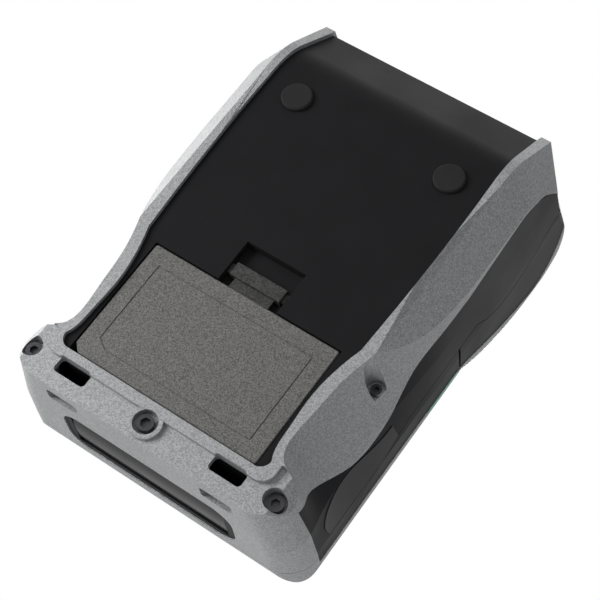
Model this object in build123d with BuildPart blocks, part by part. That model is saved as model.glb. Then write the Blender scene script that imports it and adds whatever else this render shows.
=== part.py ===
from build123d import *
from math import acos, cos, pi, radians, sin, sqrt, tan
import os

# A portable label printer, standing on its underside. The front looks along -Y,
# +X is on the right of a person who faces the front, and +Z is up.
os.makedirs("parts", exist_ok=True)

# Outer case
case_half_width = 59.3
front_y = -91.5
top_z = 60.0
front_round = 11.0
front_corner_round = 11.0
rear_corner_round = 12.0
top_edge_round = 4.0
case_wall = 2.4
trim_wall = 2.2
trim_sink = 0.25

# Hump over the label roll
hump_y = 63.5
hump_z = 79.0
hump_rear_radius = 27.0
hump_front_radius = 90.0
rear_lean = 10.7
rear_foot_z = 16.6
rear_slope = 33.3
knee_start_y = 50.0
knee_rise = 4.6

# Bevel along the foot of both sides
bevel_start_x = 48.2
bevel_ratio = 0.79

# Cutting blocks reach past both sides
reach = 75.0

# Gaps
fit_gap = 0.15
cover_gap = 0.4
running_gap = 0.06

# Underside
land_width = 3.5
panel_sink = 1.6
panel_wall = 2.4
floor_step = 2.0

# Battery
battery_width = 75.0
battery_length = 46.95
battery_front_y = -77.0
battery_face_z = 1.8
battery_height = 23.0
bay_gap = 0.5
bay_wall = 1.5


def point_on(centre, radius, angle):
    """Point on a circle of the side view, with the angle in degrees from +Y."""
    return (centre[0] + radius * cos(radians(angle)), centre[1] + radius * sin(radians(angle)))


hump_centre = (hump_y, hump_z - hump_rear_radius)
hump_front_centre = (hump_y, hump_z - hump_front_radius)


def side_points(inset, wall):
    """Corners of the side view: inset moves only the foot, the slope and the rear inwards."""
    shift = inset + wall
    lean, slope = radians(rear_lean), radians(rear_slope)
    top_of_rear = point_on(hump_centre, hump_rear_radius, -rear_lean)
    rise = top_of_rear[1] - rear_foot_z
    foot = (top_of_rear[0] - rise * tan(lean), rear_foot_z)
    knee = (foot[0] - (rear_foot_z - knee_rise) / tan(slope), knee_rise)
    slope_in = (-sin(slope), cos(slope))
    rear_in = (-cos(lean), sin(lean))
    spread = 1 + slope_in[0] * rear_in[0] + slope_in[1] * rear_in[1]
    foot_in = ((slope_in[0] + rear_in[0]) / spread, (slope_in[1] + rear_in[1]) / spread)
    return {
        "front_foot": (front_y + wall, shift),
        "knee_start": (knee_start_y, shift),
        "knee": (knee[0] + shift * slope_in[0], knee[1] + shift * slope_in[1]),
        "foot": (foot[0] + shift * foot_in[0], foot[1] + shift * foot_in[1]),
        "rear": point_on(hump_centre, hump_rear_radius - shift, -rear_lean),
        "rear_bend": point_on(hump_centre, hump_rear_radius - wall - 0.4 * inset, 45),
        "crown": (hump_y, hump_z - wall),
    }


def hump_reach(z, wall):
    """Where the front arc of the hump meets the height z."""
    radius = hump_front_radius - wall
    return hump_y - sqrt(radius**2 - (z - hump_front_centre[1]) ** 2)


def low_lines(points):
    Line(points["front_foot"], points["knee_start"])
    Spline(
        points["knee_start"],
        points["knee"],
        tangents=[(1, 0), (cos(radians(rear_slope)), sin(radians(rear_slope)))],
    )
    Line(points["knee"], points["foot"])
    Line(points["foot"], points["rear"])


def front_lines(points, roof, wall):
    """Front edge of the roof, the round above the front face, and the front face."""
    bend = front_round - wall
    centre = (front_y + front_round, top_z - front_round)
    round_start = (front_y + front_round, roof)
    round_end = (front_y + wall, top_z - front_round)
    ThreePointArc(round_start, point_on(centre, bend, 135), round_end)
    Line(round_end, points["front_foot"])
    return round_start


def side_view(plane, inset, wall):
    """Whole side view of the case, with the hump."""
    points = side_points(inset, wall)
    roof = top_z - wall
    brow = (hump_reach(roof, wall), roof)
    brow_bend = hump_reach((roof + hump_z - wall) / 2, wall)
    with BuildSketch(plane) as view:
        with BuildLine():
            low_lines(points)
            ThreePointArc(points["rear"], points["rear_bend"], points["crown"])
            ThreePointArc(points["crown"], (brow_bend, (roof + hump_z - wall) / 2), brow)
            Line(brow, front_lines(points, roof, wall))
        make_face()
    return view.sketch


# Half widths of the case at four heights, at these places along its length
stations = (front_y + front_corner_round, -72.0, -55.0, -38.0, -20.0, -2.0, 14.0)
waist_levels = (
    (0.0, (53.0, 45.4, 43.2, 44.9, 50.0, 55.2, 57.0), 57.0),
    (29.0, (58.2, 57.0, 55.6, 55.6, 56.8, 58.0, 58.4), 58.6),
    (46.0, (59.0, 59.0, 58.9, 58.9, 59.0, 59.1, 59.2), 59.2),
    (85.0, (59.4, 59.4, 59.4, 59.4, 59.4, 59.4, 59.4), 59.4),
)
rear_y = hump_y + hump_rear_radius + 1.0


def plan_view(z, halves, rear_half, wall):
    """Outline of the case seen from above at the height z, drawn on one side and mirrored."""
    side_end = rear_y - rear_corner_round
    front_bend = front_corner_round - wall
    rear_bend = rear_corner_round - wall
    places = [(half - wall, y) for half, y in zip(halves, stations)]
    last = (rear_half - wall, side_end)
    front_centre = (halves[0] - front_corner_round, stations[0])
    rear_centre = (rear_half - rear_corner_round, side_end)
    with BuildSketch(Plane.XY.offset(z)) as view:
        with BuildLine():
            start = (0, front_y + wall)
            corner = (front_centre[0], front_y + wall)
            Line(start, corner)
            ThreePointArc(corner, point_on(front_centre, front_bend, -45), places[0])
            Spline(*places, last, tangents=[(0, 1), (0, 1)])
            rear_corner = (rear_centre[0], rear_y - wall)
            ThreePointArc(last, point_on(rear_centre, rear_bend, 45), rear_corner)
            Line(rear_corner, (0, rear_y - wall))
            mirror(about=Plane.YZ)
        make_face()
    return view.sketch


def envelope(wall):
    """The body of the case, moved inwards by a wall thickness all round."""
    half = case_half_width - wall
    bevel_x = bevel_start_x - 0.484 * wall
    bevel_end = case_half_width + 1.2
    inset = (bevel_end - bevel_x) / bevel_ratio
    with BuildPart() as bevel_body:
        add(side_view(Plane.YZ.offset(-bevel_x), 0, wall))
        extrude(amount=2 * bevel_x, dir=(1, 0, 0))
        start = side_view(Plane.YZ.offset(bevel_x), 0, wall)
        end = side_view(Plane.YZ.offset(bevel_end), inset, wall)
        loft([start.face(), end.face()], ruled=True)
        mirror(about=Plane.YZ)
    with BuildPart() as plan_body:
        faces = [plan_view(z, halves, rear, wall).face() for z, halves, rear in waist_levels]
        loft(faces, ruled=True)
    with BuildPart() as body:
        add(side_view(Plane.YZ.offset(-half), 0, wall))
        extrude(amount=2 * half, dir=(1, 0, 0))
        ends = body.edges().filter_by(lambda e: abs(abs(e.center().X) - half) < 0.01)
        upper = ends.filter_by(lambda e: e.center().Z > hump_centre[1] - 2)
        fillet(upper, max(top_edge_round - wall, 0.8))
        add(bevel_body.part, mode=Mode.INTERSECT)
        add(plan_body.part, mode=Mode.INTERSECT)
    return body.part


def side_prism(view_edges):
    """Block across the whole width, from an outline drawn in the side view."""
    with BuildPart() as prism:
        with BuildSketch(Plane.YZ.offset(-reach)):
            with BuildLine():
                view_edges()
            make_face()
        extrude(amount=2 * reach, dir=(1, 0, 0))
    return prism.part


def plain_block(low, high):
    """Block between two opposite corners."""
    with BuildPart() as block:
        with Locations(tuple((a + b) / 2 for a, b in zip(low, high))):
            Box(*[b - a for a, b in zip(low, high)])
    return block.part


# Opening of the underside panel, as half widths along the case
opening_front_y = -77.7
opening_corner = 4.0
opening_sides = ((41.0, -72.0), (39.8, -62.0), (39.3, -52.0), (39.9, -42.0), (41.9, -32.0), (43.5, -26.4))
opening_rear_sides = ((44.0, -17.0), (45.3, 48.0), (44.3, 80.0))
rear_seam_z = 45.2
cover_rear_z = 47.2
cover_front_y = 8.8
case_rear_y = 8.0


def opening_block(margin, low, high):
    """Prism of the underside opening, made larger by a margin."""
    sides = [(x + margin, y) for x, y in opening_sides]
    rear_sides = [(x + margin, y) for x, y in opening_rear_sides]
    front = opening_front_y - margin
    corner = (sides[0][0] - opening_corner, front)
    start = (sides[0][0] + 0.8, front + opening_corner)
    with BuildPart() as prism:
        with BuildSketch(Plane.XY.offset(low)):
            with BuildLine():
                Line((0, front), corner)
                bend = (corner[0] + 0.74 * (start[0] - corner[0]), front + 0.26 * opening_corner)
                ThreePointArc(corner, bend, start)
                Spline(start, *sides)
                Line(sides[-1], rear_sides[0])
                Spline(*rear_sides)
                Line(rear_sides[-1], (rear_sides[-1][0], 100))
                Line((rear_sides[-1][0], 100), (0, 100))
                mirror(about=Plane.YZ)
            make_face()
        extrude(amount=high - low)
    return prism.part


# Seam between the lower and the upper half, in the side view
seam_front = ((-95.0, 48.0), (-84.0, 48.6), (-79.0, 50.3), (-62.0, 50.0), (-30.0, 43.5), (-5.0, 41.3), (20.0, 41.0))
seam_rear = ((26.0, 46.0), (48.0, 50.0), (64.0, 45.5), (72.0, 42.6))
case_seam_gap = 0.25


def seam_block(lift, end_z, last):
    """Block on one side of the seam: it ends at end_z, with the seam lifted by a gap."""
    front = [(y, z + lift) for y, z in seam_front]
    rear = [(y, z + lift) for y, z in seam_rear]

    def edges():
        Line((-100, end_z), (-100, front[0][1]))
        Line((-100, front[0][1]), front[0])
        Spline(*front)
        Line(front[-1], rear[0])
        Spline(*rear)
        Polyline(rear[-1], *last, (100, end_z), (-100, end_z))

    return side_prism(edges)


lower_end = ((80.0, rear_seam_z), (100.0, rear_seam_z))
upper_end = ((80.0, rear_seam_z + cover_gap), (84.0, cover_rear_z), (100.0, cover_rear_z))
below_seam = seam_block(0, -5, lower_end)
above_seam = seam_block(case_seam_gap, 100, upper_end)
above_cover_seam = seam_block(cover_gap, 100, upper_end)

# Dark panels on both sides, outline in the side view
dark_low = ((-79.8, 12.2), (-73, 16.5), (-58, 26), (-42, 31.5), (-27, 28), (-12, 20), (5, 17.2), (30, 14.4), (50, 12.8))
dark_rear = ((50, 12.8), (66, 19), (77, 34), (80.6, 50), (76, 65.5), (66, 73.2), (53, 73))
dark_brow = ((53, 73), (38.8, 68.5), (24.6, 62.5), (12, 56.5), (4, 54.4))
dark_top_front = (-78.6, 54.4)


def moved_in(points, amount):
    """Corners of a closed outline, drawn anticlockwise, each moved inwards."""
    result = []
    for before, here, after in zip(points[-1:] + points[:-1], points, points[1:] + points[:1]):
        normals = []
        for start, end in ((before, here), (here, after)):
            dy, dz = end[0] - start[0], end[1] - start[1]
            length = sqrt(dy * dy + dz * dz)
            normals.append((-dz / length, dy / length))
        spread = 1 + normals[0][0] * normals[1][0] + normals[0][1] * normals[1][1]
        shift = [amount * (a + b) / spread for a, b in zip(*normals)]
        result.append((here[0] + shift[0], here[1] + shift[1]))
    return result


def dark_block(shrink):
    """Prism of the dark side panels, made smaller all round."""
    outline = moved_in([*dark_low, *dark_rear[1:], *dark_brow[1:], dark_top_front], shrink)
    low_end = len(dark_low)
    rear_end = low_end + len(dark_rear) - 1

    def edges():
        Spline(*outline[:low_end])
        Spline(*outline[low_end - 1 : rear_end])
        Spline(*outline[rear_end - 1 : -1])
        Polyline(outline[-2], outline[-1], outline[0])

    return side_prism(edges)


dark_opening = dark_block(0)
dark_inlay = dark_block(fit_gap)
panel_opening = opening_block(0, -5, rear_seam_z + 5)

outer = envelope(0)
trim_outer = envelope(trim_sink)
trim_inner = envelope(trim_wall)
case_inner = envelope(case_wall)
clear_inner = envelope(case_wall + 0.1)
panel_outer = envelope(panel_sink)
panel_inner = envelope(panel_sink + panel_wall)

# Front lip and flange of the underside
lip_half_width = 45.4
lip_front_y = -81.5
lip_corner = 5.0
flange_rear_y = -73.0
slot_x = (25.2, 37.9)
flange_slot_y = (-86.2, -80.7)
front_slot_z = (7.2, 13.8)
slot_corner = 1.5

# Screws: place, head radius, head height, thread radius and counterbore radius
centre_screw = (0.0, -84.8)
centre_head_radius = 2.9
centre_bore_radius = 4.35
corner_screw = (49.3, -83.0)
corner_bore_radius = 3.9
side_screw = (50.6, -29.5)
side_bore_radius = 3.5
thread_radius = 1.5
side_thread_radius = 1.0
thread_clearance = 0.05
boss_low_z = 0.5
centre_boss_top = 9.0
corner_boss_top = 20.0
side_boss_top = 27.0
centre_head_z = (1.0, 3.5)
corner_head_z = (5.5, 8.0)
side_head_z = (16.0, 18.0)

# Front window
window_half = 35.5
window_z = (20.7, 45.2)
window_low_corner = 8.5
window_high_corner = 3.0


def lip_shape(inset, low, high):
    """Rounded outline of the front lip, running back along both sides."""
    half = lip_half_width - inset
    front = lip_front_y + inset
    with BuildPart() as prism:
        with BuildSketch(Plane.XY.offset(low)):
            with Locations((0, front + 20)):
                RectangleRounded(2 * half, 40, lip_corner - min(inset, 2.5))
        extrude(amount=high - low)
    return prism.part


def flange_block(low, high, inset):
    """Space in front of the lip."""
    with BuildPart() as space:
        add(plain_block((-reach, -100, low), (reach, flange_rear_y, high)))
        add(lip_shape(inset, low - 1, high + 1), mode=Mode.SUBTRACT)
    return space.part


def window_prism(shrink, low_y, high_y):
    """Prism through the front window, with rounded corners."""
    half = window_half - shrink
    low, high = window_z[0] + shrink, window_z[1] - shrink
    with BuildPart() as prism:
        with BuildSketch(Plane.XZ.offset(-high_y)) as view:
            with Locations((0, (low + high) / 2)):
                Rectangle(2 * half, high - low)
            corners = view.vertices()
            fillet(corners.filter_by(lambda v: v.Z < low + 1), window_low_corner - shrink)
            fillet(view.vertices().filter_by(lambda v: v.Z > high - 0.1), window_high_corner - shrink)
        extrude(amount=high_y - low_y)
    return prism.part


def side_pair(x, y):
    return ((x, y), (-x, y))


frame_relief = flange_block(-1, floor_step, 0)
boss_sizes = (
    ((centre_screw,), 5.8, centre_boss_top),
    (side_pair(*corner_screw), 5.6, corner_boss_top),
    (side_pair(*side_screw), 4.9, side_boss_top),
)
with BuildPart() as frame_core:
    add(case_inner)
    add(flange_block(-1, floor_step + case_wall, case_wall), mode=Mode.SUBTRACT)
    for places, boss_radius, boss_top in boss_sizes:
        with Locations(*[(x, y, 0) for x, y in places]):
            Cylinder(boss_radius, boss_top, align=(Align.CENTER, Align.CENTER, Align.MIN), mode=Mode.SUBTRACT)

with BuildPart() as bumper_frame:
    add(outer)
    add(frame_core.part, mode=Mode.SUBTRACT)
    add(below_seam, mode=Mode.INTERSECT)
    add(frame_relief, mode=Mode.SUBTRACT)
    with Locations((*centre_screw, boss_low_z)):
        Cylinder(5.8, centre_boss_top - boss_low_z, align=(Align.CENTER, Align.CENTER, Align.MIN))
    add(panel_opening, mode=Mode.SUBTRACT)
    add(dark_opening, mode=Mode.SUBTRACT)
    add(window_prism(0, -95, -85), mode=Mode.SUBTRACT)
    for side in (1, -1):
        low, high = sorted((side * slot_x[0], side * slot_x[1]))
        with BuildSketch(Plane.XY.offset(-1)):
            with Locations(((low + high) / 2, sum(flange_slot_y) / 2)):
                RectangleRounded(high - low, flange_slot_y[1] - flange_slot_y[0], slot_corner)
        extrude(amount=8, mode=Mode.SUBTRACT)
        with BuildSketch(Plane.XZ.offset(85)):
            with Locations(((low + high) / 2, sum(front_slot_z) / 2)):
                RectangleRounded(high - low, front_slot_z[1] - front_slot_z[0], slot_corner)
        extrude(amount=10, mode=Mode.SUBTRACT)
    bores = (
        ((centre_screw,), centre_bore_radius, centre_head_z[1], thread_radius),
        (side_pair(*corner_screw), corner_bore_radius, corner_head_z[1], thread_radius),
        (side_pair(*side_screw), side_bore_radius, side_head_z[1], side_thread_radius),
    )
    for places, bore_radius, seat_z, shank_radius in bores:
        with Locations(*[(x, y, -1) for x, y in places]):
            Cylinder(bore_radius, seat_z + 1, align=(Align.CENTER, Align.CENTER, Align.MIN), mode=Mode.SUBTRACT)
            Cylinder(shank_radius + 0.15, 40, align=(Align.CENTER, Align.CENTER, Align.MIN), mode=Mode.SUBTRACT)
bumper_frame.part.label = "bumper_frame"
export_step(bumper_frame.part, "parts/bumper_frame.step")

with BuildPart() as trim_layer:
    add(trim_outer)
    add(trim_inner, mode=Mode.SUBTRACT)
    add(dark_inlay, mode=Mode.INTERSECT)

with BuildPart() as side_panel_right:
    add(trim_layer.part)
    add(below_seam, mode=Mode.INTERSECT)
    add(plain_block((30, -100, -5), (reach, 100, 100)), mode=Mode.INTERSECT)
side_panel_right.part.label = "side_panel_right"
export_step(side_panel_right.part, "parts/side_panel_right.step")

with BuildPart() as side_panel_left:
    mirror(side_panel_right.part, about=Plane.YZ)
side_panel_left.part.label = "side_panel_left"
export_step(side_panel_left.part, "parts/side_panel_left.step")

# Raised bare plates on the dark side panels
plate_outline = ((-71.0, 44.5), (-70.6, 34.5), (-58.3, 29.6), (-42.0, 33.8), (-30.6, 35.2), (-29.6, 43.0), (-40.0, 45.2))
plate_sink = 0.05

upper_front_end = plain_block((-reach, -100, 30), (reach, case_rear_y, 100))
cover_end = plain_block((-reach, cover_front_y, 30), (reach, 100, 100))

# Platen and the gears that drive it
platen_y = 13.0
platen_z = 50.0
platen_radius = 6.0
platen_half = 40.0
shaft_radius = 2.5
bush_radius = 3.6
gear_module = 0.8
pressure_angle = 25.0
backlash = 0.12
platen_teeth = 20
idler_teeth = 24
pinion_teeth = 12
gear_x = (44.6, 49.2)
idler_place = (platen_y, platen_z - gear_module * (platen_teeth + idler_teeth) / 2)
pinion_place = (idler_place[0] - gear_module * (idler_teeth + pinion_teeth) / 2, idler_place[1])
gear_tip = 0.9
gear_room = 0.4
room_radius = gear_module * (platen_teeth / 2 + gear_tip) + gear_room
room_x = (gear_x[0] - gear_room, gear_x[1] + gear_room)

# Control panel opening and the slot for the tear bar
control_half = 44.0
control_y = (-72.0, 0.0)
control_lip = 2.0
tear_slot_half = 46.0
tear_slot_front = 2.4
button_y = (-13.0, 7.0)
button_low_z = 54.4
button_inner_x = -56.0
button_stroke = 2.5
button_gap = 0.15
post_radius = 3.4
corner_post_low = 20.1
side_post_radius = 2.1

with BuildPart() as upper_case:
    add(outer)
    add(case_inner, mode=Mode.SUBTRACT)
    add(above_seam, mode=Mode.INTERSECT)
    add(upper_front_end, mode=Mode.INTERSECT)
    cut_x = button_inner_x + button_stroke + button_gap
    cuts = (
        ((-control_half, control_y[0], 50), (control_half, control_y[1], 70)),
        ((-tear_slot_half, tear_slot_front, 50), (tear_slot_half, 20, 70)),
        ((room_x[0], platen_y - room_radius, 50), (room_x[1], 20, 70)),
        ((-reach, button_y[0], button_low_z), (cut_x, button_y[1], 70)),
    )
    for low, high in cuts:
        add(plain_block(low, high), mode=Mode.SUBTRACT)
    add(dark_opening, mode=Mode.SUBTRACT)
    roof = top_z - 0.8
    with Locations(*[(x, y, corner_post_low) for x, y in side_pair(*corner_screw)]):
        Cylinder(post_radius, roof - 1.5 - corner_post_low, align=(Align.CENTER, Align.CENTER, Align.MIN))
    with Locations(*[(x, y, side_boss_top + 0.1) for x, y in side_pair(*side_screw)]):
        Cylinder(side_post_radius, roof - side_boss_top - 0.1, align=(Align.CENTER, Align.CENTER, Align.MIN))
    with Locations(*[(x, y, 0) for x, y in side_pair(*corner_screw)]):
        Cylinder(thread_radius + thread_clearance, 40, align=(Align.CENTER, Align.CENTER, Align.MIN), mode=Mode.SUBTRACT)
    with Locations(*[(x, y, 0) for x, y in side_pair(*side_screw)]):
        Cylinder(side_thread_radius + thread_clearance, 42, align=(Align.CENTER, Align.CENTER, Align.MIN), mode=Mode.SUBTRACT)
upper_case.part.label = "upper_case"
export_step(upper_case.part, "parts/upper_case.step")

with BuildPart() as upper_side_right:
    add(trim_layer.part)
    add(above_seam, mode=Mode.INTERSECT)
    add(plain_block((30, -100, 30), (reach, case_rear_y - 0.15, 100)), mode=Mode.INTERSECT)
upper_side_right.part.label = "upper_side_right"
export_step(upper_side_right.part, "parts/upper_side_right.step")

with BuildPart() as upper_side_left:
    mirror(upper_side_right.part, about=Plane.YZ)
upper_side_left.part.label = "upper_side_left"
export_step(upper_side_left.part, "parts/upper_side_left.step")

# Cover over the label roll
panel_half = 46.0
cover_panel_y = (26.0, 84.0)
window_half_width = 30.0
cover_window_y = (35.0, 62.0)
cover_roof_z = 56.0
hinge_y = 87.6
hinge_z = 48.6
pin_radius = 1.5
bearing_radius = 1.56
knuckle_radius = 2.7
base_knuckle_x = (30.0, 38.0)
cover_knuckle_x = ((22.0, 29.6), (38.4, 43.8))
knuckle_gap = 0.4
rib_x = (41.0, 43.5)

with BuildPart() as cover_shell:
    add(outer)
    add(case_inner, mode=Mode.SUBTRACT)
    add(above_cover_seam, mode=Mode.INTERSECT)
    add(cover_end, mode=Mode.INTERSECT)
    add(dark_opening, mode=Mode.SUBTRACT)
    add(plain_block((-panel_half, cover_panel_y[0], cover_roof_z), (panel_half, cover_panel_y[1], 100)), mode=Mode.SUBTRACT)
    notch = (hinge_y - 3.1, hinge_z + 3.1)
    for side in (1, -1):
        low, high = sorted((side * (base_knuckle_x[0] - knuckle_gap), side * (base_knuckle_x[1] + knuckle_gap)))
        add(plain_block((low, notch[0], 40), (high, 100, notch[1])), mode=Mode.SUBTRACT)
with BuildPart() as cover_ribs:
    with BuildSketch(Plane.YZ.offset(rib_x[0])):
        with BuildLine():
            Polyline((cover_front_y, 49), (10, 45.4), (17, 45.4), (24, 52), (24, 66), (cover_front_y, 66), close=True)
        make_face()
    extrude(amount=rib_x[1] - rib_x[0])
    with Locations(Plane.YZ.offset(rib_x[0] - 1)):
        with Locations((platen_y, platen_z)):
            Cylinder(bush_radius + 0.05, 6, align=(Align.CENTER, Align.CENTER, Align.MIN), mode=Mode.SUBTRACT)
    for low, high in cover_knuckle_x:
        with BuildSketch(Plane.YZ.offset(low)):
            with Locations((hinge_y, hinge_z)):
                Circle(knuckle_radius)
            with BuildLine():
                Polyline((hinge_y - knuckle_radius, hinge_z), (90.6, hinge_z), (90.6, 54), (hinge_y - knuckle_radius, 54), close=True)
            make_face()
        extrude(amount=high - low)
    mirror(about=Plane.YZ)
    add(trim_outer, mode=Mode.INTERSECT)
with BuildPart() as cover_flange:
    add(case_inner)
    add(panel_inner, mode=Mode.SUBTRACT)
    ring_y = cover_panel_y
    add(plain_block((-panel_half - 3, ring_y[0] - 3, 60), (panel_half + 3, ring_y[1] + 1, 100)), mode=Mode.INTERSECT)
    add(plain_block((-panel_half + 3, ring_y[0] + 3, 50), (panel_half - 3, ring_y[1] - 4, 100)), mode=Mode.SUBTRACT)
with BuildPart() as media_cover:
    add(cover_shell.part)
    add(cover_ribs.part)
    add(cover_flange.part)
    with Locations(Plane.YZ.offset(-reach)):
        with Locations((hinge_y, hinge_z)):
            Cylinder(bearing_radius, 2 * reach, align=(Align.CENTER, Align.CENTER, Align.MIN), mode=Mode.SUBTRACT)
    with Locations(Plane.YZ.offset(room_x[0])):
        with Locations((platen_y, platen_z)):
            Cylinder(
                room_radius,
                room_x[1] - room_x[0],
                align=(Align.CENTER, Align.CENTER, Align.MIN),
                mode=Mode.SUBTRACT,
            )
media_cover.part.label = "media_cover"
export_step(media_cover.part, "parts/media_cover.step")

with BuildPart() as cover_panel:
    add(trim_outer)
    add(trim_inner, mode=Mode.SUBTRACT)
    gap = fit_gap
    add(plain_block((-panel_half + gap, ring_y[0] + gap, cover_roof_z), (panel_half - gap, ring_y[1] - gap, 100)), mode=Mode.INTERSECT)
    add(plain_block((-window_half_width, cover_window_y[0], 50), (window_half_width, cover_window_y[1], 100)), mode=Mode.SUBTRACT)
cover_panel.part.label = "cover_panel"
export_step(cover_panel.part, "parts/cover_panel.step")

with BuildPart() as cover_window:
    add(trim_outer)
    add(trim_inner, mode=Mode.SUBTRACT)
    half = window_half_width - gap
    add(plain_block((-half, cover_window_y[0] + gap, 50), (half, cover_window_y[1] - gap, 100)), mode=Mode.INTERSECT)
cover_window.part.label = "cover_window"
export_step(cover_window.part, "parts/cover_window.step")

with BuildPart() as cover_side_right:
    add(trim_layer.part)
    add(above_cover_seam, mode=Mode.INTERSECT)
    add(plain_block((30, cover_front_y + gap, 30), (reach, 100, 100)), mode=Mode.INTERSECT)
cover_side_right.part.label = "cover_side_right"
export_step(cover_side_right.part, "parts/cover_side_right.step")

with BuildPart() as cover_side_left:
    mirror(cover_side_right.part, about=Plane.YZ)
cover_side_left.part.label = "cover_side_left"
export_step(cover_side_left.part, "parts/cover_side_left.step")

# Housing that closes the underside and carries the battery, the label bay and the hinge
bay_half = battery_width / 2 + bay_gap
bay_y = (battery_front_y - bay_gap, battery_front_y + battery_length + bay_gap - 0.05)
bay_ceiling = 26.5
recess_half = 12.0
recess_rear_y = -12.7
recess_floor = 5.5
media_half = 42.0
media_y = (17.0, 82.0)
media_wall_top = 40.0
foot_place = (31.7, 43.9)
foot_radius = 5.65
foot_pocket = 3.2
latch_slot_half = 13.4
latch_slot_y = (-25.2, -17.2)
latch_slot_z = (3.4, 5.2)

with BuildPart() as housing_shell:
    add(panel_outer)
    add(panel_inner, mode=Mode.SUBTRACT)
    add(opening_block(-fit_gap, -5, rear_seam_z), mode=Mode.INTERSECT)
with BuildPart() as housing_flange:
    add(clear_inner)
    add(panel_inner, mode=Mode.SUBTRACT)
    add(opening_block(2.5, -5, rear_seam_z - 0.3), mode=Mode.INTERSECT)
    add(plain_block((-reach, lip_front_y + case_wall + 0.1, -5), (reach, 100, 60)), mode=Mode.INTERSECT)
    add(flange_block(-1, floor_step + case_wall + 0.1, case_wall + 0.1), mode=Mode.SUBTRACT)
with BuildPart() as housing_walls:
    add(plain_block((-bay_half - bay_wall, bay_y[0] - bay_wall, 2.6), (bay_half + bay_wall, bay_y[1] + bay_wall, bay_ceiling + bay_wall)))
    add(plain_block((-recess_half - 2, bay_y[1], 2.6), (recess_half + 2, recess_rear_y + 1.5, recess_floor + 1.5)))
    add(plain_block((-media_half - bay_wall, media_y[0] - bay_wall, 2.6), (media_half + bay_wall, media_y[1] + bay_wall, media_wall_top)))
    add(plain_block((-media_half, media_y[0], 2), (media_half, media_y[1], media_wall_top + 1)), mode=Mode.SUBTRACT)
    for low, high in ((-43.5, -39.5), (39.5, 43.5)):
        add(plain_block((low, -12, 2.6), (high, 12, 19.95)))
    with Locations(*[(x, y, 2.6) for x, y in side_pair(*foot_place)]):
        Cylinder(foot_radius + 1.5, foot_pocket, align=(Align.CENTER, Align.CENTER, Align.MIN))
    with Locations((0.0, 46.0, 2.6)):
        Cylinder(1.0, 5.8, align=(Align.CENTER, Align.CENTER, Align.MIN))
    add(clear_inner, mode=Mode.INTERSECT)
with BuildPart() as housing_knuckles:
    for low, high in (base_knuckle_x,):
        with BuildSketch(Plane.YZ.offset(low)):
            with Locations((hinge_y, hinge_z)):
                Circle(knuckle_radius)
            with BuildLine():
                Polyline((hinge_y - knuckle_radius, 38), (90.6, 38), (90.6, hinge_z), (hinge_y - knuckle_radius, hinge_z), close=True)
            make_face()
        extrude(amount=high - low)
    mirror(about=Plane.YZ)
    add(trim_outer, mode=Mode.INTERSECT)
with BuildPart() as bottom_housing:
    add(housing_shell.part)
    add(housing_flange.part)
    add(housing_walls.part)
    add(housing_knuckles.part)
    add(plain_block((-bay_half, bay_y[0], -1), (bay_half, bay_y[1], bay_ceiling)), mode=Mode.SUBTRACT)
    add(plain_block((-recess_half, bay_y[1] - 0.2, -1), (recess_half, recess_rear_y, recess_floor)), mode=Mode.SUBTRACT)
    low, high = (-latch_slot_half, latch_slot_y[0], latch_slot_z[0]), (latch_slot_half, latch_slot_y[1], latch_slot_z[1])
    add(plain_block(low, high), mode=Mode.SUBTRACT)
    with Locations(*[(x, y, 0) for x, y in side_pair(*foot_place)]):
        Cylinder(foot_radius + fit_gap, foot_pocket, align=(Align.CENTER, Align.CENTER, Align.MIN), mode=Mode.SUBTRACT)
    for x in (-12, -4, 4, 12):
        add(plain_block((x - 0.8, -72.2, 20), (x + 0.8, -66.8, 40)), mode=Mode.SUBTRACT)
    with Locations(Plane.YZ.offset(-base_knuckle_x[1] - 0.2)):
        with Locations((hinge_y, hinge_z)):
            Cylinder(pin_radius, 2 * base_knuckle_x[1] + 0.4, align=(Align.CENTER, Align.CENTER, Align.MIN), mode=Mode.SUBTRACT)
bottom_housing.part.label = "bottom_housing"
export_step(bottom_housing.part, "parts/bottom_housing.step")

# Small parts on the case
with BuildPart() as plate_prism:
    with BuildSketch(Plane.YZ.offset(30)):
        with BuildLine():
            Spline(*plate_outline[:5])
            Polyline(*plate_outline[4:], plate_outline[0])
        make_face()
    extrude(amount=reach)

with BuildPart() as side_plate_right:
    add(outer)
    add(trim_outer, mode=Mode.SUBTRACT)
    add(plate_prism.part, mode=Mode.INTERSECT)
side_plate_right.part.label = "side_plate_right"
export_step(side_plate_right.part, "parts/side_plate_right.step")

with BuildPart() as side_plate_left:
    mirror(side_plate_right.part, about=Plane.YZ)
side_plate_left.part.label = "side_plate_left"
export_step(side_plate_left.part, "parts/side_plate_left.step")

button_side_y = (button_y[0] + button_gap, button_y[1] - button_gap)
button_ledge_z = (55.4, 57.35)
with BuildPart() as release_button:
    add(outer)
    add(case_inner, mode=Mode.SUBTRACT)
    add(plain_block((-reach, button_side_y[0], button_low_z + button_gap), (button_inner_x, button_side_y[1], 70)), mode=Mode.INTERSECT)
    add(dark_opening, mode=Mode.SUBTRACT)
    add(plain_block((-58, button_side_y[0], button_ledge_z[0]), (-53.3, button_side_y[1], button_ledge_z[1])))
    add(plain_block((-55.9, -8, 48), (-53.6, 2, 56)))
release_button.part.label = "release_button"
export_step(release_button.part, "parts/release_button.step")

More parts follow.
